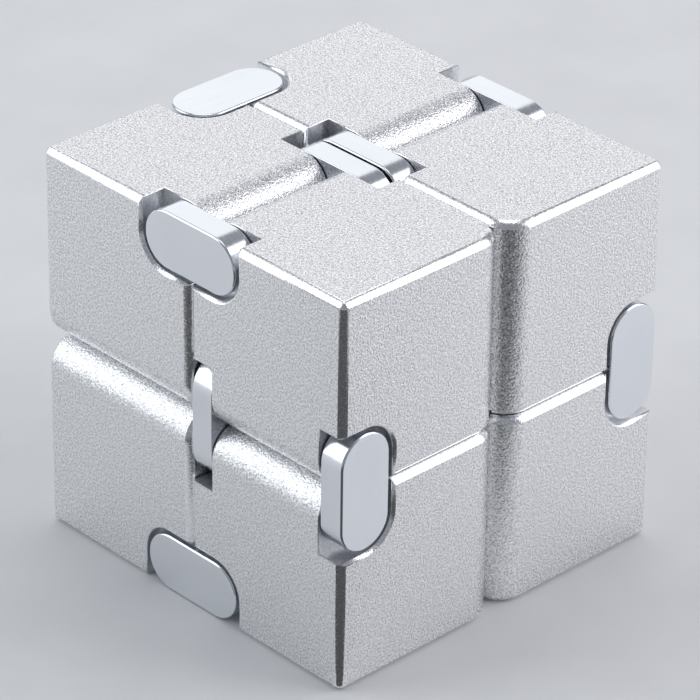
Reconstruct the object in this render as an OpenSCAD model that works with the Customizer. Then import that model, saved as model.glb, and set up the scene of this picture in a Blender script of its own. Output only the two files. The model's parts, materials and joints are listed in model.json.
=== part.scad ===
// Folding fidget cube: eight blocks in one endless ring, joined by eight double-pin hinges.
// Origin: middle of the closed cube's footprint, on the surface it rests on. +Z up, millimetres.

/* [Cube] */
// Edge of the closed cube
cube_size = 40; // [36:0.5:60]
// Gap between the faces of neighbouring blocks, closed or folded right over
block_gap = 0.15; // [0.1:0.01:0.3]
// Leg of the chamfer along the nine small edges of each block
edge_cut = 0.64; // [0.2:0.02:1]

/* [Hinges] */
// Radius of each block's three rolling edges, which is also the depth of the pins below the faces
rolling_r = 3; // [3:0.1:3.5]
// Half the width of a link plate
link_r = 2.9; // [2:0.05:2.95]
// Thickness of a link plate
link_t = 2.7; // [2:0.05:3.5]
// How far the outer face of a link plate lies below the face of its block
link_recess = 0.1; // [0.02:0.01:0.3]
// Play between a link plate and the wall of its pocket
pocket_room = 0.45; // [0.2:0.05:0.6]
// Play between a link plate and the floor of its pocket
floor_room = 0.1; // [0.05:0.01:0.3]
// Leg of the chamfer around the outer face of a link plate
link_cut = 0.2; // [0.1:0.05:0.4]

/* [Pins] */
// Radius of a hinge pin
pin_r = 1; // [0.6:0.05:1.25]
// Radial play of a pin in the bore of its block
bore_play = 0.05; // [0.02:0.01:0.1]
// Metal left between a pin's end and the outer face of its link plate
pin_skin = 0.9; // [0.5:0.1:1.2]
// Leg of the chamfer on a pin's ends
pin_cut = 0.2; // [0.1:0.05:0.3]

/* [Hidden] */
$fn = 96;
half = cube_size / 2;
// Inner faces of the block in the octant (+,+,+), beside the seams
inner = block_gap / 2;
// Axis of that block's pin on the top hinge line, which runs along Y
pin_x = inner + rolling_r;
pin_z = half - rolling_r;
pocket_r = link_r + pocket_room;
pocket_depth = link_recess + link_t + floor_room;
// Faces of the two link plates at the ends of a hinge edge, along the hinge line
outer_face = half - link_recess;
inner_face = inner + link_recess;
pin_from = inner_face + pin_skin;
pin_to = outer_face - pin_skin;
// Cutters run this far past the faces that they open
over = 1;

// Hinge lines, as third turns of the top one about the octant's own diagonal
TOP_LINE = 0;
SIDE_LINE = 1;
FRONT_LINE = 2;

// Blocks: name, and the side of the cube's centre on X, Y and Z
BLOCKS = [
    ["front_left_top_block", [-1, -1, 1]],
    ["front_right_top_block", [1, -1, 1]],
    ["back_left_top_block", [-1, 1, 1]],
    ["back_right_top_block", [1, 1, 1]],
    ["front_left_bottom_block", [-1, -1, -1]],
    ["front_right_bottom_block", [1, -1, -1]],
    ["back_left_bottom_block", [-1, 1, -1]],
    ["back_right_bottom_block", [1, 1, -1]],
];

// Hinges: name, octant that holds the near pin, hinge line, where the near and the far pin are
HINGES = [
    ["top_front", [1, -1, 1], TOP_LINE, "right", "left"],
    ["top_back", [1, 1, 1], TOP_LINE, "right", "left"],
    ["bottom_front", [1, -1, -1], TOP_LINE, "right", "left"],
    ["bottom_back", [1, 1, -1], TOP_LINE, "right", "left"],
    ["left_upper", [-1, 1, 1], SIDE_LINE, "back", "front"],
    ["left_lower", [-1, 1, -1], SIDE_LINE, "back", "front"],
    ["front_waist", [1, -1, 1], FRONT_LINE, "top", "bottom"],
    ["back_waist", [1, 1, 1], FRONT_LINE, "top", "bottom"],
];

// Names of a hinge's four pieces: outer and inner link plate, near and far pin
function hinge_nodes(h) = [
    str(h[0], "_outer_link"),
    str(h[0], "_inner_link"),
    str(h[0], "_", h[3], "_pin"),
    str(h[0], "_", h[4], "_pin")
];

// Mirrors its children where the octant lies on the negative side
module flip(side, direction) {
    if (side < 0) mirror(direction) children();
    else children();
}

// Moves geometry of the octant (+,+,+) about the cube's centre to its own octant in the part's frame
module place(octant) {
    translate([0, 0, half])
        flip(octant[0], [1, 0, 0])
        flip(octant[1], [0, 1, 0])
        flip(octant[2], [0, 0, 1])
        children();
}

// Turns geometry of the top hinge line to one of the three lines: x goes to y, y to z and z to x
module turn(line) {
    rotate(120 * line, [1, 1, 1]) children();
}

// Takes its 2D children as drawn in X and Z, and extrudes them along Y from y0 to y1
module along_y(y0, y1) {
    translate([0, y1, 0]) rotate([90, 0, 0]) linear_extrude(y1 - y0) children();
}

// Section of a block across one direction: three chamfered corners and the round rolling one
module block_section() {
    difference() {
        polygon([
            [inner + edge_cut, inner],
            [half - edge_cut, inner],
            [half, inner + edge_cut],
            [half, half - edge_cut],
            [half - edge_cut, half],
            [inner, half],
            [inner, inner + edge_cut]
        ]);
        difference() {
            translate([inner - over, pin_z]) square([rolling_r + over, rolling_r + over]);
            translate([pin_x, pin_z]) circle(rolling_r);
        }
    }
}

// Block before its hinges are cut: three crossed prisms, each of which has one rolling edge
module blank() {
    intersection_for (line = [TOP_LINE, SIDE_LINE, FRONT_LINE])
        turn(line) along_y(inner, half) block_section();
}

// Outline of the pocket that a link plate lies and swings in, open to the seam and to the face
module pocket_outline() {
    translate([pin_x, pin_z]) circle(pocket_r);
    translate([inner - over, pin_z - pocket_r])
        square([pin_x - inner + over, half - pin_z + pocket_r + over]);
    translate([inner - over, pin_z])
        square([pin_x + pocket_r - inner + over, half - pin_z + over]);
}

// What one hinge takes out of a block: a pocket at each end of the edge and the bore between them
module hinge_cut() {
    along_y(inner - over, inner + pocket_depth) pocket_outline();
    along_y(half - pocket_depth, half + over) pocket_outline();
    translate([pin_x, half, pin_z])
        rotate([90, 0, 0])
        cylinder(r = pin_r + bore_play, h = half - inner);
}

// Block with its two hinge edges cut out; its third rolling edge stays whole
module block(octant) {
    second_line = octant[0] < 0 ? SIDE_LINE : FRONT_LINE;
    color([0.80, 0.81, 0.83])
        place(octant)
        difference() {
            blank();
            for (line = [TOP_LINE, second_line])
                turn(line) hinge_cut();
        }
}

// Half section of a link plate out to its rim on one side, from the back at 0 to the face
function plate_rim(side) = [
    [side * link_r, 0],
    [side * link_r, link_t - link_cut],
    [side * (link_r - link_cut), link_t]
];

// Link plate lying on its back along X, with a blind hole near each end for the pins
module plate() {
    round_end = concat([[0, 0]], plate_rim(1), [[0, link_t]]);
    left = plate_rim(-1);
    middle = concat(plate_rim(1), [left[2], left[1], left[0]]);
    color([0.72, 0.74, 0.77])
        difference() {
            union() {
                for (side = [-1, 1])
                    translate([side * pin_x, 0, 0]) rotate_extrude() polygon(round_end);
                translate([-pin_x, 0, 0])
                    rotate([90, 0, 90])
                    linear_extrude(2 * pin_x)
                    polygon(middle);
            }
            for (side = [-1, 1])
                translate([side * pin_x, 0, -over])
                    cylinder(r = pin_r, h = link_t - pin_skin + over);
        }
}

// Link plate at the outer end of a hinge edge, its face towards the outside of the cube
module outer_link(octant, line) {
    place(octant)
        turn(line)
        translate([0, outer_face - link_t, pin_z])
        rotate([-90, 0, 0])
        plate();
}

// Link plate at the inner end of a hinge edge, its face towards the seam in the middle of the cube
module inner_link(octant, line) {
    place(octant)
        turn(line)
        translate([0, inner_face + link_t, pin_z])
        rotate([90, 0, 0])
        plate();
}

// Hinge pin from blind hole to blind hole; side 1 is the near pin and -1 the far one
module hinge_pin(octant, line, side) {
    length = pin_to - pin_from;
    half_section = [
        [0, 0],
        [pin_r - pin_cut, 0],
        [pin_r, pin_cut],
        [pin_r, length - pin_cut],
        [pin_r - pin_cut, length],
        [0, length]
    ];
    color([0.55, 0.56, 0.58])
        place(octant)
        turn(line)
        translate([side * pin_x, pin_from, pin_z])
        rotate([-90, 0, 0])
        rotate_extrude()
        polygon(half_section);
}

for (b = BLOCKS)
    block(b[1]);

for (h = HINGES) {
    names = hinge_nodes(h);
    outer_link(h[1], h[2]);
    inner_link(h[1], h[2]);
    hinge_pin(h[1], h[2], 1);
    hinge_pin(h[1], h[2], -1);
}
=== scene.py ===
import json
from math import cos, pi, radians, sin

import bmesh
import bpy
from mathutils import Matrix, Vector

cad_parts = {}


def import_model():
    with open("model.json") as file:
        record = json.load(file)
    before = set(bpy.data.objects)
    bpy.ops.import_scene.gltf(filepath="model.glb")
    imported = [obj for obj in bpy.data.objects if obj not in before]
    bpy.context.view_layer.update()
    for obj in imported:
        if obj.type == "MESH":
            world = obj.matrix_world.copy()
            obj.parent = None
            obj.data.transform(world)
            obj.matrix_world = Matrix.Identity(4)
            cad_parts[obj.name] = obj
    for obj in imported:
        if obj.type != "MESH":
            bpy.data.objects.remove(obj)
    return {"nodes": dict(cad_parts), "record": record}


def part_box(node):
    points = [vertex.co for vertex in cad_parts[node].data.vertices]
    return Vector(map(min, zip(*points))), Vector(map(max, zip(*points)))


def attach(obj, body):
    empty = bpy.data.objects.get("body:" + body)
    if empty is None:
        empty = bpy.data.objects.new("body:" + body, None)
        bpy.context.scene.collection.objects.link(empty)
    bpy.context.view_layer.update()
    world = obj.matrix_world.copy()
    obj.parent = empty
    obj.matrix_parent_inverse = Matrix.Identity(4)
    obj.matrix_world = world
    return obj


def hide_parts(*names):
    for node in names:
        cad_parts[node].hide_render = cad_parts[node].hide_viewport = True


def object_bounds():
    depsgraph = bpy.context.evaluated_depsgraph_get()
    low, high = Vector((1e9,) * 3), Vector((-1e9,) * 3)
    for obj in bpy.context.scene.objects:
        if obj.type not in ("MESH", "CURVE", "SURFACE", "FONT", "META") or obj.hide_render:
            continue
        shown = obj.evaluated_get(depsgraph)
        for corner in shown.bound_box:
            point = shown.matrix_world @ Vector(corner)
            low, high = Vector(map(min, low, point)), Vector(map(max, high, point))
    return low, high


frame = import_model()
cad_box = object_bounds()

# Mesh work is done in millimetres about the cube's centre, in the octant (+,+,+), and each finished
# mesh is then mirrored to its own octant and scaled to metres.
MM = 0.001

# ---------------------------------------------------------------- sizes read from the frame
CENTRE = (cad_box[0] + cad_box[1]) / 2


def box_mm(node):
    """A node's lowest and highest corners about the cube's centre, in millimetres."""
    low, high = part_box(node)
    return (low - CENTRE) / MM, (high - CENTRE) / MM


HALF = (cad_box[1].x - cad_box[0].x) / 2 / MM
INNER = box_mm("back_right_top_block")[0].x
link_low, link_high = box_mm("top_back_outer_link")
LINK_R = (link_high.z - link_low.z) / 2
LINK_T = link_high.y - link_low.y
LINK_FACE = link_high.y
PIN_X = link_high.x - LINK_R
PIN_Z = link_high.z - LINK_R
pin_low, pin_high = box_mm("top_back_right_pin")
PIN_R = (pin_high.x - pin_low.x) / 2
ROLLING_R = HALF - PIN_Z

# Play that the boxes don't show, in millimetres: of a link plate towards the wall and the floor of its
# pocket, and of a pin in its bore
POCKET_ROOM = 0.45
FLOOR_ROOM = 0.1
BORE_PLAY = 0.05
POCKET_R = LINK_R + POCKET_ROOM
POCKET_DEPTH = HALF - LINK_FACE + LINK_T + FLOOR_ROOM
BORE_R = PIN_R + BORE_PLAY
HOLE_DEPTH = pin_high.y - (LINK_FACE - LINK_T)

# Legs of the cut edges, in millimetres. A rim is where a pocket meets the faces at the ends of its
# hinge edge, and a mouth is where it meets the faces beside that edge.
EDGE_CUT = 0.64
RIM_CUT = 0.30
MOUTH_CUT = 0.10
FACE_CUT = 0.20
BACK_CUT = 0.08

# Profiles of the bevels, where 0.25 is flat and 0.5 is round
ROUND_PROFILE = 0.5
BLOCK_PROFILE = 0.36
LINK_PROFILE = 0.45

# Segments of a quarter round, of a bore and of a cut edge
ROUND_STEPS = 18
BORE_STEPS = 32
CUT_STEPS = 4

# Cutters run this far past the faces that they open, in millimetres
PAST = 1.0
# Places closer than this count as the same one, in millimetres
NEAR = 0.01
# Points closer than this are merged after a cut, in millimetres
MERGE = 0.0005
# Edges that turn by less than this belong to a round stretch and stay uncut
SOFT_ANGLE = radians(20)
# Least cosine between two directions that count as parallel
PARALLEL = 0.99

# Hinge lines: how many third turns about the octant's diagonal lead to each from the top one
LINES = (0, 1, 2)
TOP_LINE, SIDE_LINE, FRONT_LINE = LINES

# ---------------------------------------------------------------- material helpers


class Nodes:
    """A material's node tree with short calls for the nodes used here.

    Scales are per metre, and bump depths in metres.
    """

    def __init__(self, name, base, metallic, roughness):
        self.material = bpy.data.materials.new(name)
        self.material.use_nodes = True
        self.tree = self.material.node_tree
        self.shader = self.tree.nodes["Principled BSDF"]
        self.shader.inputs["Base Color"].default_value = (*base, 1)
        self.shader.inputs["Metallic"].default_value = metallic
        self.shader.inputs["Roughness"].default_value = roughness
        self.place = self.node("ShaderNodeTexCoord").outputs["Object"]

    def node(self, kind, **settings):
        made = self.tree.nodes.new(kind)
        for key, value in settings.items():
            setattr(made, key, value)
        return made

    def link(self, source, target):
        self.tree.links.new(source, target)

    def stretched(self, scale):
        """Object coordinates with their own scale on each axis."""
        mapping = self.node("ShaderNodeMapping")
        mapping.inputs["Scale"].default_value = scale
        self.link(self.place, mapping.inputs["Vector"])
        return mapping.outputs["Vector"]

    def noise(self, scale, detail=2.0, roughness=0.5, vector=None):
        noise = self.node("ShaderNodeTexNoise")
        noise.inputs["Scale"].default_value = scale
        noise.inputs["Detail"].default_value = detail
        noise.inputs["Roughness"].default_value = roughness
        self.link(vector or self.place, noise.inputs["Vector"])
        return noise.outputs["Fac"]

    def cells(self, scale, smoothness=0.3):
        cells = self.node("ShaderNodeTexVoronoi", feature="SMOOTH_F1")
        cells.inputs["Scale"].default_value = scale
        cells.inputs["Smoothness"].default_value = smoothness
        self.link(self.place, cells.inputs["Vector"])
        return cells.outputs["Distance"]

    def spread(self, value, low, high, start=0.3, end=0.7):
        """Maps the middle of a noise to the range low to high."""
        spread = self.node("ShaderNodeMapRange")
        spread.inputs["From Min"].default_value = start
        spread.inputs["From Max"].default_value = end
        spread.inputs["To Min"].default_value = low
        spread.inputs["To Max"].default_value = high
        self.link(value, spread.inputs["Value"])
        return spread.outputs["Result"]

    def contrast(self, value):
        """Widens the middle fifth of a noise to the range 0 to 1."""
        return self.spread(value, 0, 1, 0.40, 0.60)

    def mixed(self, value, low, high):
        """Colour between low and high by value."""
        mixed = self.node("ShaderNodeMix", data_type="RGBA")
        mixed.inputs["A"].default_value = (*low, 1)
        mixed.inputs["B"].default_value = (*high, 1)
        self.link(value, mixed.inputs["Factor"])
        return mixed.outputs["Result"]

    def bump(self, height, distance, before=None):
        """Bump of the given depth, on top of an earlier one where there is one."""
        bump = self.node("ShaderNodeBump")
        bump.inputs["Strength"].default_value = 1.0
        bump.inputs["Distance"].default_value = distance
        self.link(height, bump.inputs["Height"])
        if before:
            self.link(before, bump.inputs["Normal"])
        return bump.outputs["Normal"]

    def finish(self, colour=None, roughness=None, normal=None):
        for value, name in ((colour, "Base Color"), (roughness, "Roughness"), (normal, "Normal")):
            if value:
                self.link(value, self.shader.inputs[name])
        return self.material


# ---------------------------------------------------------------- materials


def blasted_aluminium():
    """Bead-blasted, clear anodised: small round dimples all over, with a fine grain in the tone."""
    m = Nodes("blasted_aluminium", (0.84, 0.85, 0.87), metallic=1.0, roughness=0.30)
    grain = m.noise(5400, detail=1.5, roughness=0.6)
    dimples = m.bump(m.cells(4800), 0.00003)
    normal = m.bump(grain, 0.00006, before=dimples)
    colour = m.mixed(m.contrast(grain), (0.61, 0.615, 0.635), (1.0, 1.0, 1.0))
    return m.finish(colour, m.spread(grain, 0.24, 0.31), normal)


def cut_aluminium():
    """Cut edges and pocket rims, blasted only lightly: brighter and smoother than the faces."""
    m = Nodes("cut_aluminium", (0.90, 0.905, 0.92), metallic=1.0, roughness=0.24)
    grain = m.noise(5400, detail=1.5, roughness=0.6)
    colour = m.mixed(m.contrast(grain), (0.80, 0.805, 0.82), (0.97, 0.975, 0.98))
    return m.finish(colour, m.spread(grain, 0.20, 0.28), m.bump(grain, 0.00002))


def milled_aluminium():
    """Pocket walls and bores: milled, then blasted through the openings, so darker and duller."""
    m = Nodes("milled_aluminium", (0.74, 0.75, 0.78), metallic=1.0, roughness=0.42)
    grain = m.noise(4600, detail=2.0, roughness=0.6)
    colour = m.mixed(m.contrast(grain), (0.66, 0.67, 0.70), (0.82, 0.83, 0.86))
    return m.finish(colour, m.spread(grain, 0.38, 0.48), m.bump(grain, 0.00003))


def satin_aluminium(line):
    """Link plates: polished along their length, so each hinge line has its own direction."""
    name = "satin_aluminium_" + "xyz"[line]
    m = Nodes(name, (0.79, 0.815, 0.85), metallic=1.0, roughness=0.22)
    along, across = 120, 5200
    scale = [across, across, across]
    scale[line] = along
    lines = m.noise(1.0, detail=2.0, vector=m.stretched(scale))
    clouds = m.noise(160, detail=1.0)
    colour = m.mixed(m.spread(clouds, 0, 1), (0.775, 0.80, 0.835), (0.805, 0.83, 0.865))
    return m.finish(colour, m.spread(lines, 0.17, 0.25), m.bump(lines, 0.0000012))


def pin_steel():
    """Ground steel with a fine, shallow grain."""
    m = Nodes("pin_steel", (0.56, 0.57, 0.58), metallic=1.0, roughness=0.28)
    grain = m.noise(4000, detail=2.0)
    return m.finish(None, m.spread(grain, 0.22, 0.34), m.bump(grain, 0.000003))


BLOCK_SLOTS = [blasted_aluminium(), cut_aluminium(), milled_aluminium()]
LINK_SLOTS = [satin_aluminium(line) for line in LINES]
PIN_SLOT = pin_steel()

# ---------------------------------------------------------------- mesh helpers


def turned(point, line):
    """x goes to y, y to z and z to x, once for each third turn."""
    x, y, z = point
    for _ in range(line):
        x, y, z = z, x, y
    return Vector((x, y, z))


def prism(outline, low, high, line, name, index=0):
    """Closed prism of an outline in X and Z, from low to high along Y, turned to its hinge line."""
    work = bmesh.new()
    rings = [[work.verts.new(turned((x, y, z), line)) for x, z in outline] for y in (low, high)]
    work.faces.new(rings[0])
    work.faces.new(list(reversed(rings[1])))
    for i in range(len(outline)):
        j = (i + 1) % len(outline)
        work.faces.new([rings[0][j], rings[0][i], rings[1][i], rings[1][j]])
    bmesh.ops.recalc_face_normals(work, faces=work.faces)
    for face in work.faces:
        face.material_index = index
    return as_object(work, name)


def as_object(work, name):
    """Turns a finished bmesh into an object of the scene."""
    mesh = bpy.data.meshes.new(name)
    work.to_mesh(mesh)
    work.free()
    made = bpy.data.objects.new(name, mesh)
    bpy.context.scene.collection.objects.link(made)
    return made


def arc(cx, cz, r, start, end, steps):
    """Points on an arc, angles in degrees."""
    angles = [radians(start + (end - start) * i / steps) for i in range(steps + 1)]
    return [(cx + r * cos(a), cz + r * sin(a)) for a in angles]


def bore_outline(cx, cz, r):
    """Points all round a bore, with none of them twice."""
    return arc(cx, cz, r, 0, 360 - 360 / BORE_STEPS, BORE_STEPS - 1)


def apply_modifiers(made):
    """Bakes the modifiers into the mesh and drops them."""
    depsgraph = bpy.context.evaluated_depsgraph_get()
    mesh = bpy.data.meshes.new_from_object(made.evaluated_get(depsgraph), depsgraph=depsgraph)
    made.modifiers.clear()
    made.data = mesh


def carve(target, cutters):
    """Takes the cutters out of the target, one after the other, and removes them."""
    for cutter in cutters:
        cut = target.modifiers.new("cut", "BOOLEAN")
        cut.operation = "DIFFERENCE"
        cut.solver = "EXACT"
        cut.object = cutter
        apply_modifiers(target)
        bpy.data.objects.remove(cutter)


def bevel_by_weight(made, width, profile, slot):
    """Bevels the edges by their weights; the new faces take the slot, or at -1 that of their neighbours."""
    bevel = made.modifiers.new("edges", "BEVEL")
    bevel.width = width
    bevel.segments = CUT_STEPS
    bevel.profile = profile
    bevel.limit_method = "WEIGHT"
    bevel.use_clamp_overlap = False
    bevel.material = slot
    apply_modifiers(made)


def set_weights(made, weight_of):
    """Stores weight_of(edge) as the bevel weight of every edge that has two faces."""
    work = bmesh.new()
    work.from_mesh(made.data)
    bmesh.ops.remove_doubles(work, verts=work.verts, dist=MERGE)
    bmesh.ops.dissolve_degenerate(work, dist=MERGE, edges=work.edges)
    work.normal_update()
    layer = work.edges.layers.float.new("bevel_weight_edge")
    for edge in work.edges:
        if len(edge.link_faces) == 2:
            edge[layer] = weight_of(edge)
    work.to_mesh(made.data)
    work.free()


def crisp_borders(made, slot):
    """Keeps the shading of the cut edges apart from that of the faces beside them."""
    work = bmesh.new()
    work.from_mesh(made.data)
    for edge in work.edges:
        if sum(face.material_index == slot for face in edge.link_faces) == 1:
            edge.smooth = False
    work.to_mesh(made.data)
    work.free()


def mirrored(mesh, octant, name):
    """Copy of a canonical mesh, in metres and in its own octant."""
    copy = mesh.copy()
    copy.name = name
    copy.transform(Matrix.Translation(CENTRE) @ Matrix.Diagonal((*(side * MM for side in octant), 1)))
    if octant[0] * octant[1] * octant[2] < 0:
        copy.flip_normals()
    return copy


def put(mesh, name, node, body, slots):
    """Makes the piece that stands for a CAD node and rides on its body."""
    indices = [face.material_index for face in mesh.polygons]
    mesh.materials.clear()
    for material in slots:
        mesh.materials.append(material)
    # Clearing the slots sends every face to the first one, so the faces get their own back
    mesh.polygons.foreach_set("material_index", indices)
    mesh.shade_smooth()
    piece = bpy.data.objects.new(name, mesh)
    bpy.context.scene.collection.objects.link(piece)
    # Large faces stay flat up to their edges, and no shading runs across the sharp ones
    normals = piece.modifiers.new("normals", "WEIGHTED_NORMAL")
    normals.weight = 100
    normals.keep_sharp = True
    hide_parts(node)
    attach(piece, body)


# ---------------------------------------------------------------- block
# Material slots of a block
SHELL, CUT, POCKET = 0, 1, 2
# Pocket faces carry their own index for each hinge line while the edges are sorted
SORTING = {line: POCKET + line for line in LINES}


def blank():
    """Cube with its three skew rolling edges rounded."""
    work = bmesh.new()
    bmesh.ops.create_cube(work, size=1)
    middle = (INNER + HALF) / 2
    bmesh.ops.scale(work, vec=Vector((HALF - INNER,) * 3), verts=work.verts)
    bmesh.ops.translate(work, vec=Vector((middle,) * 3), verts=work.verts)
    rolling = []
    for edge in work.edges:
        centre = (edge.verts[0].co + edge.verts[1].co) / 2
        for line in LINES:
            if (centre - turned((INNER, middle, HALF), line)).length < NEAR:
                rolling.append(edge)
    bmesh.ops.bevel(
        work, geom=rolling, offset=ROLLING_R, offset_type="OFFSET", segments=ROUND_STEPS,
        profile=ROUND_PROFILE, affect="EDGES", clamp_overlap=False,
    )
    return as_object(work, "blank")


def pocket_outline():
    """Square mouth towards the seam and the face, round towards the block's inside."""
    return [
        (INNER - PAST, PIN_Z - POCKET_R),
        *arc(PIN_X, PIN_Z, POCKET_R, -90, 0, ROUND_STEPS),
        (PIN_X + POCKET_R, HALF + PAST),
        (INNER - PAST, HALF + PAST),
    ]


def hinge_cutters(line):
    """A pocket at each end of the hinge edge and the bore between them, which starts in the pockets."""
    index = SORTING[line]
    bore = bore_outline(PIN_X, PIN_Z, BORE_R)
    return [
        prism(pocket_outline(), INNER - PAST, INNER + POCKET_DEPTH, line, "pocket", index),
        prism(pocket_outline(), HALF - POCKET_DEPTH, HALF + PAST, line, "pocket", index),
        prism(bore, INNER + PAST, HALF - PAST, line, "bore", index),
    ]


def block_edge_weight(edge):
    """Outer edges get the full cut, pocket rims a smaller one and pocket mouths a fine one."""
    if not edge.is_convex or edge.calc_face_angle(0) < SOFT_ANGLE:
        return 0.0
    shell = [face for face in edge.link_faces if face.material_index == SHELL]
    pocket = [face for face in edge.link_faces if face.material_index != SHELL]
    if not pocket:
        return 1.0
    if not shell:
        return 0.0
    line = [key for key, value in SORTING.items() if value == pocket[0].material_index][0]
    axis = turned((0, 1, 0), line)
    at_end = abs(shell[0].normal.dot(axis)) > PARALLEL
    return (RIM_CUT if at_end else MOUTH_CUT) / EDGE_CUT


def block_mesh(second_line):
    """Canonical block with pockets on the top hinge line and on one other."""
    made = blank()
    for _ in range(max(SORTING.values()) + 1):
        made.data.materials.append(None)
    carve(made, hinge_cutters(TOP_LINE) + hinge_cutters(second_line))
    set_weights(made, block_edge_weight)
    bevel_by_weight(made, EDGE_CUT, BLOCK_PROFILE, CUT)
    crisp_borders(made, CUT)
    for face in made.data.polygons:
        face.material_index = min(face.material_index, POCKET)
    mesh = made.data
    bpy.data.objects.remove(made)
    return mesh


BLOCK_MESHES = {line: block_mesh(line) for line in (SIDE_LINE, FRONT_LINE)}

# ---------------------------------------------------------------- link plate


def link_outline():
    """Stadium around the two pins."""
    right = arc(PIN_X, PIN_Z, LINK_R, -90, 90, 2 * ROUND_STEPS)
    left = arc(-PIN_X, PIN_Z, LINK_R, 90, 270, 2 * ROUND_STEPS)
    return right + left


def link_mesh(line, outer):
    """Canonical link plate with two blind pin holes; its face looks out of the cube or to the seam."""
    face = LINK_FACE if outer else INNER + HALF - LINK_FACE
    inward = -1 if outer else 1
    back = face + inward * LINK_T
    plate = prism(link_outline(), min(face, back), max(face, back), line, "plate")
    holes = []
    for side in (-1, 1):
        rim = bore_outline(side * PIN_X, PIN_Z, PIN_R)
        ends = sorted((back + inward * PAST, back - inward * HOLE_DEPTH))
        holes.append(prism(rim, *ends, line, "hole"))
    axis = turned((0, 1, 0), line)

    def weight_of(edge):
        """Edges of the face get the full cut and those of the back a fine one."""
        if not edge.is_convex or edge.calc_face_angle(0) < SOFT_ANGLE:
            return 0.0
        middle = (edge.verts[0].co + edge.verts[1].co) / 2
        at_face = abs(middle.dot(axis) - face) < NEAR
        return 1.0 if at_face else BACK_CUT / FACE_CUT

    set_weights(plate, weight_of)
    bevel_by_weight(plate, FACE_CUT, LINK_PROFILE, -1)
    carve(plate, holes)
    mesh = plate.data
    bpy.data.objects.remove(plate)
    return mesh


ENDS = ("outer", "inner")
LINK_MESHES = {(line, end): link_mesh(line, end == "outer") for line in LINES for end in ENDS}

# ---------------------------------------------------------------- pieces
BODIES = frame["record"]["behaviour"]["bodies"]
BODY_OF = {node: body for body, nodes in BODIES.items() for node in nodes}


def octant_of(node):
    """Which side of the cube's centre a node lies on, on each axis."""
    low, high = box_mm(node)
    return tuple(1 if low[i] + high[i] > 0 else -1 for i in range(3))


def finish_pin(node):
    """Gives a pin of the frame its steel; its mesh stays as it is."""
    materials = frame["nodes"][node].data.materials
    materials.clear()
    materials.append(PIN_SLOT)


# Hinges: name, octant of the block that holds the near pin, hinge line
HINGES = [
    ("top_front", (1, -1, 1), TOP_LINE),
    ("top_back", (1, 1, 1), TOP_LINE),
    ("bottom_front", (1, -1, -1), TOP_LINE),
    ("bottom_back", (1, 1, -1), TOP_LINE),
    ("left_upper", (-1, 1, 1), SIDE_LINE),
    ("left_lower", (-1, 1, -1), SIDE_LINE),
    ("front_waist", (1, -1, 1), FRONT_LINE),
    ("back_waist", (1, 1, 1), FRONT_LINE),
]

for node, body in BODY_OF.items():
    if node.endswith("_block"):
        octant = octant_of(node)
        canonical = BLOCK_MESHES[SIDE_LINE if octant[0] < 0 else FRONT_LINE]
        mesh = mirrored(canonical, octant, node)
        put(mesh, node + "_finished", node, body, BLOCK_SLOTS)
    elif node.endswith("_pin"):
        finish_pin(node)

for name, octant, line in HINGES:
    for end in ENDS:
        node = name + "_" + end + "_link"
        mesh = mirrored(LINK_MESHES[line, end], octant, node)
        put(mesh, node + "_finished", node, BODY_OF[node], [LINK_SLOTS[line]])

# ---------------------------------------------------------------- floor, light and camera


def floor_material():
    """Plain pale matt surface with a very slight mottle."""
    m = Nodes("pale_floor", (0.78, 0.785, 0.79), metallic=0.0, roughness=0.65)
    mottle = m.noise(90, detail=3.0)
    return m.finish(m.mixed(m.spread(mottle, 0, 1), (0.76, 0.765, 0.775), (0.80, 0.805, 0.81)))


def floor():
    """Floor under the cube that reaches 3 m out to each side."""
    reach = 3.0
    work = bmesh.new()
    bmesh.ops.create_grid(work, x_segments=4, y_segments=4, size=reach)
    made = as_object(work, "floor")
    made.location.z = cad_box[0].z
    made.data.materials.append(floor_material())


def direction(azimuth, elevation):
    """Unit vector from the cube: azimuth 0 is in front (-Y), 90 is to the right (+X)."""
    a, e = radians(azimuth), radians(elevation)
    return Vector((sin(a) * cos(e), -cos(a) * cos(e), sin(e)))


def floor_card(name, outline, grey):
    """Card just above the floor, seen only in the cube's reflections.

    The outline is in millimetres to the right and to the front of the near upright edge.
    """
    lift = 0.05
    work = bmesh.new()
    work.faces.new([work.verts.new((right * MM, -front * MM, lift * MM)) for right, front in outline])
    made = as_object(work, name)
    made.location = (cad_box[1].x, cad_box[0].y, cad_box[0].z)
    made.data.materials.append(Nodes(name, (grey, grey, grey), metallic=0.0, roughness=0.8).finish())
    made.visible_camera = False
    made.visible_diffuse = False
    made.visible_shadow = False


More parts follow.
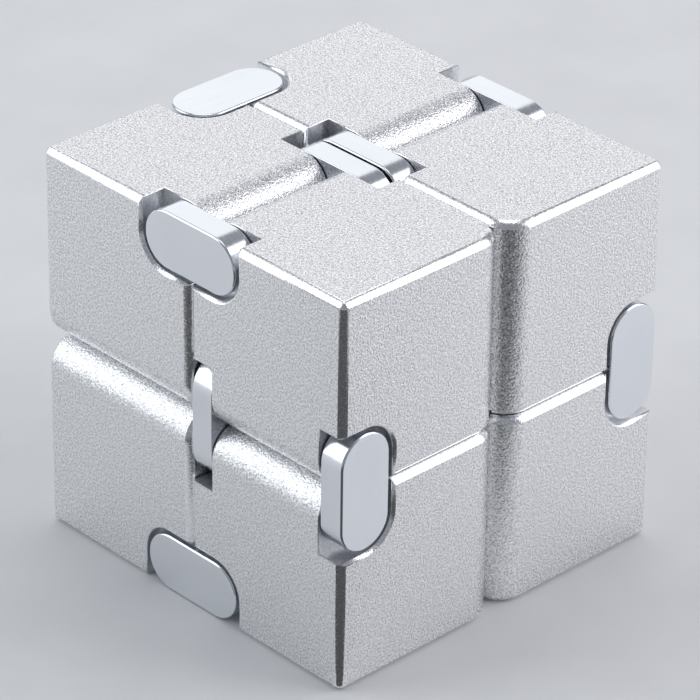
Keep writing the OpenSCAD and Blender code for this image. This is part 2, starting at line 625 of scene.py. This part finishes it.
def softbox(name, azimuth, elevation, distance, width, height, radiance, tint=(1, 1, 1)):
    """Area light of a given brightness, aimed at the cube; its sizes and distance are in metres."""
    light = bpy.data.lights.new(name, "AREA")
    light.shape = "RECTANGLE"
    light.size = width
    light.size_y = height
    light.energy = radiance * pi * width * height
    light.color = tint
    made = bpy.data.objects.new(name, light)
    bpy.context.scene.collection.objects.link(made)
    away = direction(azimuth, elevation)
    made.location = CENTRE + away * distance
    made.rotation_mode = "QUATERNION"
    made.rotation_quaternion = (-away).to_track_quat("-Z", "Y")


def world():
    """Dim, slightly blue light from all around."""
    made = bpy.data.worlds.new("studio")
    bpy.context.scene.world = made
    made.use_nodes = True
    background = made.node_tree.nodes["Background"]
    background.inputs["Color"].default_value = (0.86, 0.90, 1.0, 1)
    background.inputs["Strength"].default_value = 0.30


def camera():
    """Long lens at a three-quarter view from above, with a small roll and shift."""
    azimuth, elevation, roll = 46.26, 29.96, 0.75
    distance, lens, sensor = 0.4180, 231.43, 36.0
    data = bpy.data.cameras.new("camera")
    data.sensor_width = sensor
    data.lens = lens
    data.shift_x = -0.001
    data.shift_y = -0.0089
    data.clip_start = 0.01
    made = bpy.data.objects.new("camera", data)
    bpy.context.scene.collection.objects.link(made)
    back = direction(azimuth, elevation)
    made.location = CENTRE + back * distance
    made.rotation_mode = "QUATERNION"
    level = (-back).to_track_quat("-Z", "Y")
    made.rotation_quaternion = level @ Matrix.Rotation(radians(roll), 3, "Z").to_quaternion()
    bpy.context.scene.camera = made


floor()
# From the camera, the front side mirrors the left card, the right side the right card, and the upright
# edges between them the dark one
floor_card("left_card", [(0, 0), (-320, 600), (-600, 600), (-600, 0)], 0.86)
floor_card("dark_card", [(0, 0), (150, -60), (170, 0), (150, 90), (90, 150), (0, 170), (-45, 160)], 0.08)
floor_card("right_card", [(0, 0), (600, -400), (600, -600), (40, -600)], 0.97)
# Lights: azimuth, elevation, distance, width, height and brightness, and the tint where it isn't white
softbox("back_wall", 230, 25, 0.9, 1.15, 0.62, 0.86)
softbox("left_front", -48, 26, 0.8, 0.6, 0.8, 1.65, (0.93, 0.97, 1.0))
softbox("right_back", 136, 26, 0.8, 0.6, 0.8, 2.1, (0.98, 0.975, 1.0))
softbox("overhead", 226, 84, 1.0, 0.6, 0.6, 1.6)
world()
camera()
bpy.context.scene.view_settings.view_transform = "Standard"
